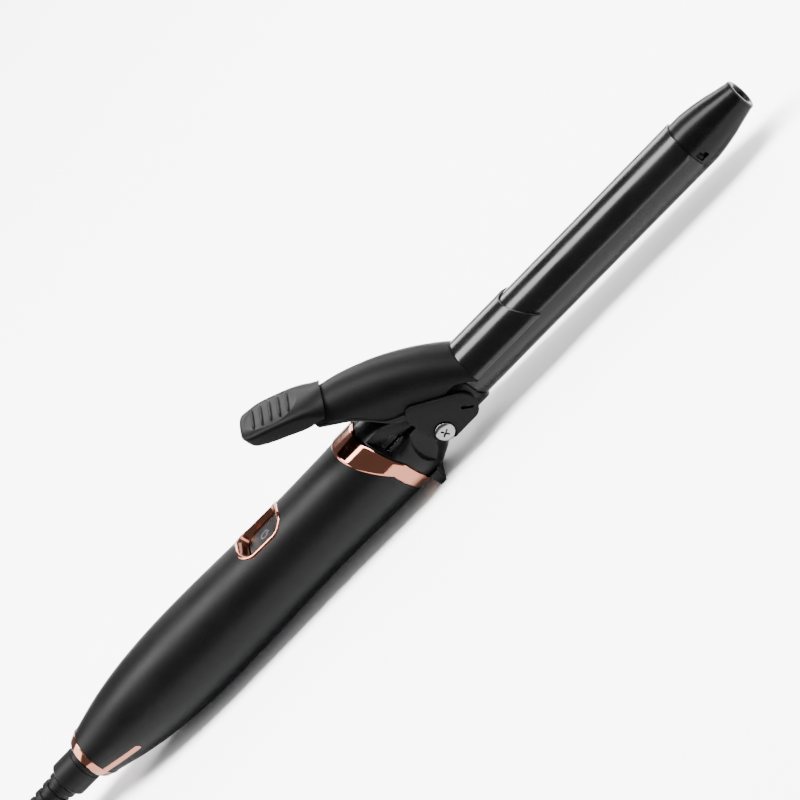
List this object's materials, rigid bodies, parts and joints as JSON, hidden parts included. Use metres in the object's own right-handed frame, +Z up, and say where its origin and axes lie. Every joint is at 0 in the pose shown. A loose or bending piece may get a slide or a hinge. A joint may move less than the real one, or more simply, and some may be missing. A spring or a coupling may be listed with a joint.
{
  "type": "curling iron",
  "caption": "Slim hair curling iron with a sprung clamp lever, a push button, an insulated tip and a swivelling mains cord with its plug.",
  "frame": {"origin": "on the table, under the middle of the iron's length without its cord", "axes": "+X along the barrel to the cool tip, +Z up through the clamp lever and the button, +Y to the side"},
  "size_m": [0.5313, 0.0517, 0.0631],
  "materials": {
    "soft_black": "soft-touch matte",
    "rose_gold": "bright plated rose gold",
    "housing_black": "moulded satin",
    "screw_steel": "zinc plated",
    "barrel_coating": "satin ceramic coating",
    "clip_coating": "gloss ceramic coating",
    "insulator": "high-temperature moulding",
    "heater_aluminium": "extruded",
    "film": "polyimide film",
    "tip_black": "moulded satin",
    "board": "solder mask",
    "switch_black": "moulded",
    "lamp": "clear red lens",
    "wire": "silicone insulation",
    "brass_contact": "plain",
    "button_black": "moulded satin",
    "spring_steel": "drawn wire",
    "lever_black": "moulded matte",
    "thumb_black": "moulded matte",
    "plate_black": "moulded satin",
    "cord_rubber": "moulded matte",
    "pin_brass": "nickel plated"
  },
  "bodies": {
    "handle": {"handle_upper_shell": "soft_black", "handle_lower_shell": "soft_black", "front_trim_ring": "rose_gold", "rear_trim_ring": "rose_gold", "front_housing": "housing_black", "stand_foot": "housing_black", "switch_bezel": "rose_gold", "case_screws": "screw_steel", "barrel": "barrel_coating", "barrel_insulator": "insulator", "heater_block_upper": "heater_aluminium", "heater_block_lower": "heater_aluminium", "ptc_heater": "insulator", "insulation_sleeve": "film", "barrel_end_plug": "housing_black", "cool_tip": "tip_black", "tip_screw": "screw_steel", "circuit_board": "board", "tact_switch": "switch_black", "indicator_lamp": "lamp", "thermal_fuse": "screw_steel", "board_screws": "screw_steel", "lead_wires": "wire", "swivel_socket": "housing_black", "swivel_contacts": "brass_contact", "button_spring": "spring_steel", "pivot_bushings": "spring_steel", "pivot_screws": "screw_steel", "cord_lead": "cord_rubber", "cord_tail": "cord_rubber", "cord_coil": "cord_rubber", "cord_tie": "cord_rubber", "plug_body": "cord_rubber", "plug_pins": "pin_brass"},
    "lever": {"lever_body": "lever_black", "thumb_rest": "thumb_black", "left_hinge_plate": "plate_black", "right_hinge_plate": "plate_black", "clip_tongue": "clip_coating", "clip_sleeve": "clip_coating", "clip_rivets": "screw_steel", "thumb_rest_screw": "screw_steel", "torsion_springs": "spring_steel"},
    "button": {"power_button": "button_black"},
    "swivel": {"swivel_collar": "cord_rubber", "strain_relief": "cord_rubber"}
  },
  "joints": [
    {"name": "clamp_hinge", "type": "hinge", "parent": "handle", "child": "lever", "pos_m": [0.0219, 0, 0.0134], "axis": [0, -1, 0], "range_deg": [0, 20], "stiffness_Nm_per_rad": 0.6, "springref_deg": -20.05},
    {"name": "button_press", "type": "slide", "parent": "handle", "child": "button", "axis": [0, 0, -1], "range_m": [0, 0.0008], "stiffness_N_per_m": 800, "springref_m": -0.0005, "deforming": ["button_spring"]},
    {"name": "cord_swivel", "type": "hinge", "parent": "handle", "child": "swivel", "pos_m": [-0.165, 0, 0.0168], "axis": [-1, 0, 0], "continuous": true}
  ]
}
